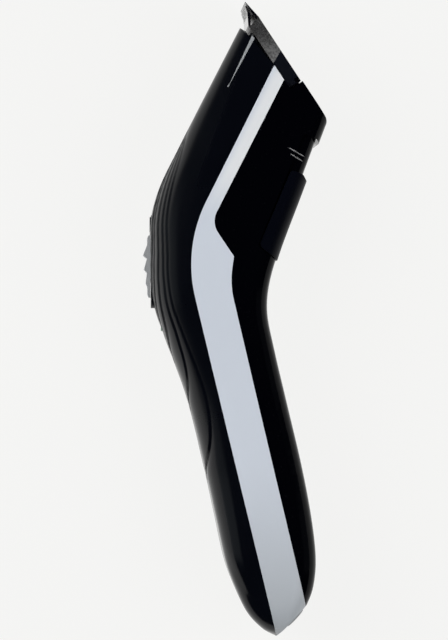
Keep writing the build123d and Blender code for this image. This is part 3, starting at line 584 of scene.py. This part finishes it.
def brushed_metal(name, low, high, rough, stretch):
    """Metal ground in one direction: long fine scratches that vary tone and roughness."""
    net = Net(name)
    scratch, cloud = net.noise(900.0, 3.0, stretch=stretch), net.noise(90.0, 2.0)
    return net.finish(Base_Color=net.mix(scratch * 0.7 + cloud * 0.3, low, high), Metallic=1.0,
                      Roughness=(rough - 0.06) + 0.16 * scratch,
                      Normal=net.bump(scratch, 0.000006, 0.35))


def grained_plastic(colours):
    """Cast grey housing of the cutting unit: coarse sparkle grain, lighter to its hinge."""
    net = Net("grained_grey")
    grain = net.noise(1300.0, 4.0, 0.7).between(0.3, 0.7)
    speck = net.noise(3200.0, 1.0).between(0.55, 0.75)
    _, y = net.side_xy()
    down = (CUT_POINT[1] - y).between(0.0, 12.0)
    colour = net.mix(down, colours.grain_dark, colours.grain_light)
    pits = net.mix(0.75, colour, grey(0.01))
    colour = net.mix(speck * 0.3, net.mix(grain, pits, colour), grey(0.4))
    return net.finish(Base_Color=colour, Metallic=0.3, Roughness=0.42 + 0.2 * grain,
                      Normal=net.bump(grain, 0.00006, 0.7))


def green_board():
    """Green solder mask over copper tracks."""
    net = Net("board_green")
    tracks = net.noise(420.0, 0.0).between(0.5, 0.52)
    return net.finish(Base_Color=net.mix(tracks, (0.01, 0.12, 0.04, 1), (0.03, 0.2, 0.07, 1)),
                      Roughness=0.35 + 0.1 * tracks, Normal=net.bump(tracks, 0.00003, 0.5))


def make_finishes(colours):
    """Every material slot's finish, by the slot's name."""
    return {
        "dark_housing": satin_shell(colours),
        "black_gloss": gloss_shell(colours),
        "silver_trim": band_lacquer(colours),
        "silver_slider": plain_plastic("slider_silver", grey(0.56, 0.03), grey(0.66, 0.03), 0.34,
                                       metallic=0.2, coat=0.3),
        "navy_slider": plain_plastic("slider_navy", (0.0009, 0.0012, 0.0030, 1),
                                     (0.0016, 0.0022, 0.0048, 1), 0.36, ior=1.15),
        "grained_grey": grained_plastic(colours),
        "black_plastic": plain_plastic("black_plastic", (0.0022, 0.0028, 0.005, 1),
                                       (0.0045, 0.0055, 0.009, 1), 0.42),
        "blade_steel": brushed_metal("blade_steel", grey(0.56), grey(0.78), 0.26, (0.15, 1, 3)),
        "spring_steel": brushed_metal("spring_steel", grey(0.42), grey(0.6), 0.32, (1, 0.1, 1)),
        "screw_steel": brushed_metal("screw_steel", grey(0.45), grey(0.62), 0.3, (1, 1, 1)),
        "zinc_steel": brushed_metal("zinc_steel", grey(0.46, 0.03), grey(0.62, 0.03), 0.36,
                                    (1, 1, 0.2)),
        "copper": brushed_metal("copper_wire", (0.62, 0.25, 0.11, 1), (0.8, 0.36, 0.18, 1), 0.35,
                                (1, 1, 8)),
        "brass": brushed_metal("brass", (0.6, 0.42, 0.16, 1), (0.75, 0.56, 0.25, 1), 0.3,
                               (1, 1, 0.3)),
        "magnet": plain_plastic("magnet", grey(0.03), grey(0.07), 0.5),
        "white_plastic": plain_plastic("white_plastic", grey(0.55), grey(0.65), 0.45),
        "board_green": green_board(),
        "component_black": plain_plastic("component_black", grey(0.012), grey(0.03), 0.4),
        "cell_wrap": plain_plastic("cell_wrap", (0.02, 0.07, 0.2, 1), (0.03, 0.1, 0.26, 1), 0.3),
        "seal_rubber": plain_plastic("seal_rubber", grey(0.015), grey(0.03), 0.7),
        "inlet_grey": plain_plastic("inlet_grey", grey(0.30, 0.03), grey(0.40, 0.03), 0.4),
        "light_lens": plain_plastic("light_lens", (0.35, 0.5, 0.4, 1), (0.5, 0.65, 0.55, 1), 0.15),
        # painted highlight: pale finish of the wedges that stand for light on the crease beside the
        # blades
        "painted_highlight_pale": plain_plastic("painted_highlight_pale", grey(0.34, 0.04), grey(0.44, 0.04), 0.3,
                                     metallic=0.2),
        "tick_paint": plain_plastic("tick_paint", grey(0.18), grey(0.28), 0.5),
    }


FINISHES = {}                    # filled by the finishes operator, which runs first


# ---- settings ----
class ClipperSizes(bpy.types.PropertyGroup):
    """Sizes of the visible shells."""

    shell_wall: bpy.props.FloatProperty(
        name="Shell wall", description="Thickness of the front shell, mm", default=1.7, min=0.8)
    band_wall: bpy.props.FloatProperty(
        name="Band wall", description="Thickness of the trim band, mm", default=1.8, min=0.8)
    tick_width: bpy.props.FloatProperty(
        name="Mark width", description="Width of the two marks on the side, mm", default=0.34)
    camera_distance: bpy.props.FloatProperty(
        name="Camera distance", description="Camera to object", default=1.35, unit="LENGTH")
    camera_turn: bpy.props.FloatProperty(
        name="Camera turn", description="Turn towards the front, degrees", default=1.5)
    frame_height: bpy.props.FloatProperty(
        name="Framed height", description="Height that the camera sees, mm", default=182.4)


def colour_property(name, description, default):
    """A colour that the user may change."""
    return bpy.props.FloatVectorProperty(name=name, description=description, subtype="COLOR",
                                         size=4, min=0, max=1, default=default)


class ClipperColours(bpy.types.PropertyGroup):
    """Colours of the visible finishes."""

    front_dark: colour_property("Front, dark", "Darker tone of the front",
                                (0.0012, 0.0016, 0.0032, 1))
    front_light: colour_property("Front, light", "Lighter tone of the front",
                                 (0.0024, 0.0030, 0.0052, 1))
    gloss_black: colour_property("Gloss black", "Polished back housing", (0.0006, 0.0007, 0.0016, 1))
    band: colour_property("Band", "Upper part of the silver band", (0.66, 0.71, 0.79, 1))
    # painted shade on the band's lower part
    band_painted_shade: colour_property("Band, low", "Lower part of the silver band", (0.44, 0.47, 0.50, 1))
    # painted highlight on the band's upper back half
    band_painted_highlight: colour_property("Band, light", "Lighter fold of the band", (0.84, 0.86, 0.88, 1))
    grain_light: colour_property("Cast grey, light", "Cutting unit near its hinge", grey(0.30))
    grain_dark: colour_property("Cast grey, dark", "Cutting unit near the blades", grey(0.055))
    floor: colour_property("Floor", "Pale floor", (0.88, 0.88, 0.87, 1.0))


def sizes():
    """The user's sizes."""
    return bpy.context.scene.clipper_sizes


# ---- stage ----
FLOOR_REACH, FLOOR_POINTS, FLOOR_GAP = 3.0, 9, 0.0002          # metres
BACKDROP_RADIUS, BACKDROP_TOP, BACKDROP_SINK = 2.9, 5.0, 0.01
BACKDROP_TURNS, BACKDROP_ROWS = 65, 5
GLOW, MATT_SHARE = 1.045, 0.06   # strength of the pale surfaces' light, and their matt part
NIGHT = (0.004, 0.004, 0.006, 1)
SHINE, WHITE = (0.88, 0.97, 1.0), (1.0, 1.0, 1.0)
LAMP_AIM = (0.0, 0.0, 0.02)
# name, place, size in metres, watts, colour, seen in reflections
LAMPS = (
    ("left_softbox", (-0.85, 0.0, 0.00), (1.3, 0.5), 0.9, SHINE, True),
    ("right_softbox", (0.90, 0.0, 0.02), (1.3, 0.3), 0.25, SHINE, True),
    ("left_fill", (-0.60, 0.3, 0.95), (0.8, 0.8), 9.0, WHITE, False),
    ("right_fill", (0.60, -0.2, 0.95), (0.8, 0.8), 6.5, WHITE, False),
)
CAMERA_AIM = (-2.85 * MM, 0.0, 0.035)
SENSOR = 24.0                    # height, mm
CLIP = 0.05, 20.0                # nearest and farthest that the camera sees, metres


def pale_surface(colours):
    """Pale studio surface that mostly shines by itself."""
    net = Net("pale_floor")
    glow = net.node("ShaderNodeEmission", Color=tuple(colours.floor), Strength=GLOW)
    matt = net.node("ShaderNodeBsdfDiffuse", Color=tuple(colours.floor))
    both = net.node("ShaderNodeMixShader", i0=MATT_SHARE, i1=glow, i2=matt)
    net.node("ShaderNodeOutputMaterial", Surface=both)
    return net.material


def add_stage_piece(name, points, material):
    """A grid of points in metres as a piece of the stage."""
    mesh = bpy.data.meshes.new(name)
    mesh.from_pydata(points.reshape(-1, 3).tolist(), [], grid_faces(*points.shape[:2]).tolist())
    mesh.materials.append(material)
    piece = bpy.data.objects.new(name, mesh)
    bpy.context.scene.collection.objects.link(piece)
    piece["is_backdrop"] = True
    return piece


def add_floor(height, material):
    """A level square of points under the clipper."""
    reach = np.linspace(-FLOOR_REACH, FLOOR_REACH, FLOOR_POINTS)
    x, y = np.meshgrid(reach, reach)
    add_stage_piece("floor", np.stack([x, y, np.full_like(x, height)], axis=-1), material)


def add_backdrop(height, material):
    """An upright ring round the floor, which only the camera sees."""
    turn, rise = np.meshgrid(np.linspace(0, 2 * pi, BACKDROP_TURNS),
                             np.linspace(height, BACKDROP_TOP, BACKDROP_ROWS))
    ring = np.stack([BACKDROP_RADIUS * np.cos(turn), BACKDROP_RADIUS * np.sin(turn), rise],
                    axis=-1)
    backdrop = add_stage_piece("backdrop", ring, material)
    backdrop.visible_glossy = backdrop.visible_diffuse = backdrop.visible_shadow = False


def add_world():
    """Near darkness round the stage, so that only lamps and floor light the clipper."""
    world = bpy.data.worlds.new("studio")
    world.use_nodes = True
    world.node_tree.nodes["Background"].inputs[0].default_value = NIGHT
    bpy.context.scene.world = world


def add_lamp(name, place, size, watts, colour, shines):
    """An area lamp that faces the clipper."""
    lamp = bpy.data.lights.new(name, "AREA")
    lamp.shape, lamp.size, lamp.size_y = "RECTANGLE", *size
    lamp.energy, lamp.color = watts, colour
    light = bpy.data.objects.new(name, lamp)
    light.location = place
    light.rotation_euler = (Vector(LAMP_AIM) - Vector(place)).to_track_quat("-Z", "X").to_euler()
    light.visible_glossy = shines
    bpy.context.scene.collection.objects.link(light)


def add_camera():
    """A long lens over the clipper, turned a little towards its front."""
    lens = bpy.data.cameras.new("camera")
    distance, turn = sizes().camera_distance, radians(sizes().camera_turn)
    lens.sensor_fit, lens.sensor_height = "VERTICAL", SENSOR
    lens.lens = SENSOR * distance / (sizes().frame_height * MM)
    lens.clip_start, lens.clip_end = CLIP
    camera = bpy.data.objects.new("camera", lens)
    camera.location = Vector(CAMERA_AIM) + Vector((-sin(turn), 0, cos(turn))) * distance
    camera.rotation_euler = (0, -turn, 0)
    bpy.context.scene.collection.objects.link(camera)
    bpy.context.scene.camera = camera


# ---- operators ----
class CLIPPER_OT_finishes(bpy.types.Operator):
    """Makes every finish and puts it on the carried-over parts"""
    bl_idname = "clipper.finishes"
    bl_label = "Finishes"

    def execute(self, context):
        FINISHES.update(make_finishes(context.scene.clipper_colours))
        slots = {p["node"]: p["material_slot"] for p in frame["record"]["subparts"]}
        for name, obj in frame["nodes"].items():
            # the pale wedges beside the blades are a painted highlight
            kind = "painted_highlight_pale" if name == "accent_strips" else slots[name]
            for slot in obj.material_slots:
                slot.material = FINISHES[kind]
        return {"FINISHED"}


class CLIPPER_OT_front_shell(bpy.types.Operator):
    """Builds the front shell with its rippled grip"""
    bl_idname = "clipper.front_shell"
    bl_label = "Front shell"

    def execute(self, context):
        points, (above, beside, _) = front_points()
        rows, columns = points.shape[:2]
        keep = np.ones((rows - 1, columns - 1), bool)
        middle = (columns - 1) // 2
        keep[above:above + beside, middle - OPENING_COLUMNS:middle + OPENING_COLUMNS] = False
        piece = add_piece("front_shell", points, grid_faces(rows, columns, keep)[:, ::-1],
                          FINISHES["dark_housing"])
        wall(piece, sizes().shell_wall, sharp=80.0)
        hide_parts("front_housing")
        return {"FINISHED"}


class CLIPPER_OT_band_shell(bpy.types.Operator):
    """Builds the silver band round both sides and the base"""
    bl_idname = "clipper.band_shell"
    bl_label = "Trim band"

    def execute(self, context):
        points = band_points()
        rows, columns = points.shape[:2]
        piece = add_piece("band_shell", points, grid_faces(rows, columns)[:, ::-1],
                          FINISHES["silver_trim"])
        wall(piece, sizes().band_wall)
        cut_and_apply(piece, round_cutter(INLET_POINT, INLET_ANGLE, INLET_HOLE, INLET_REACH))
        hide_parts("trim_band")
        return {"FINISHED"}


class CLIPPER_OT_highlight_wedges(bpy.types.Operator):
    """Inlays pale wedges beside the blades, a painted highlight on the crease there"""
    bl_idname = "clipper.accents"
    bl_label = "Highlight wedges"

    def execute(self, context):
        piece = both_sides("painted_highlight_wedges", [HIGHLIGHT_WEDGE], HIGHLIGHT_WEDGE_PROUD, FINISHES["painted_highlight_pale"])
        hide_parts("accent_strips")
        return {"FINISHED"}


class CLIPPER_OT_marks(bpy.types.Operator):
    """Prints the two plain marks above the length slider"""
    bl_idname = "clipper.marks"
    bl_label = "Length marks"

    def execute(self, context):
        strokes = [stroke(*mark, sizes().tick_width) for mark in MARKS]
        both_sides("length_marks", strokes, MARK_PROUD, FINISHES["tick_paint"])
        return {"FINISHED"}


class CLIPPER_OT_stage(bpy.types.Operator):
    """Sets up the pale floor, the soft lights and the camera"""
    bl_idname = "clipper.stage"
    bl_label = "Stage"

    def execute(self, context):
        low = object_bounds()[0][2]
        pale = pale_surface(context.scene.clipper_colours)
        add_floor(low - FLOOR_GAP, pale)
        add_backdrop(low - BACKDROP_SINK, pale)
        add_world()
        for lamp in LAMPS:
            add_lamp(*lamp)
        add_camera()
        context.scene.view_settings.view_transform = "Standard"
        return {"FINISHED"}


OPERATORS = (CLIPPER_OT_finishes, CLIPPER_OT_front_shell, CLIPPER_OT_band_shell,
             CLIPPER_OT_highlight_wedges, CLIPPER_OT_marks, CLIPPER_OT_stage)


class CLIPPER_PT_panel(bpy.types.Panel):
    """Lists the clipper's pieces and settings"""
    bl_label = "Hair Clipper"
    bl_space_type = "VIEW_3D"
    bl_region_type = "UI"
    bl_category = "Clipper"

    def draw(self, context):
        for group in (context.scene.clipper_sizes, context.scene.clipper_colours):
            for key in group.__annotations__:
                self.layout.prop(group, key)
        for operator in OPERATORS:
            self.layout.operator(operator.bl_idname)


CLASSES = (ClipperSizes, ClipperColours, *OPERATORS, CLIPPER_PT_panel)


def register():
    """Registers the classes and their settings."""
    for cls in CLASSES:
        bpy.utils.register_class(cls)
    bpy.types.Scene.clipper_sizes = bpy.props.PointerProperty(type=ClipperSizes)
    bpy.types.Scene.clipper_colours = bpy.props.PointerProperty(type=ClipperColours)


def unregister():
    """Takes the settings and the classes away again."""
    del bpy.types.Scene.clipper_colours
    del bpy.types.Scene.clipper_sizes
    for cls in reversed(CLASSES):
        bpy.utils.unregister_class(cls)


def main():
    """Registers the add-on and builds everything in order."""
    register()
    for operator in OPERATORS:
        group, name = operator.bl_idname.split(".")
        getattr(getattr(bpy.ops, group), name)()
    bpy.context.view_layer.update()


if __name__ == "__main__":
    main()
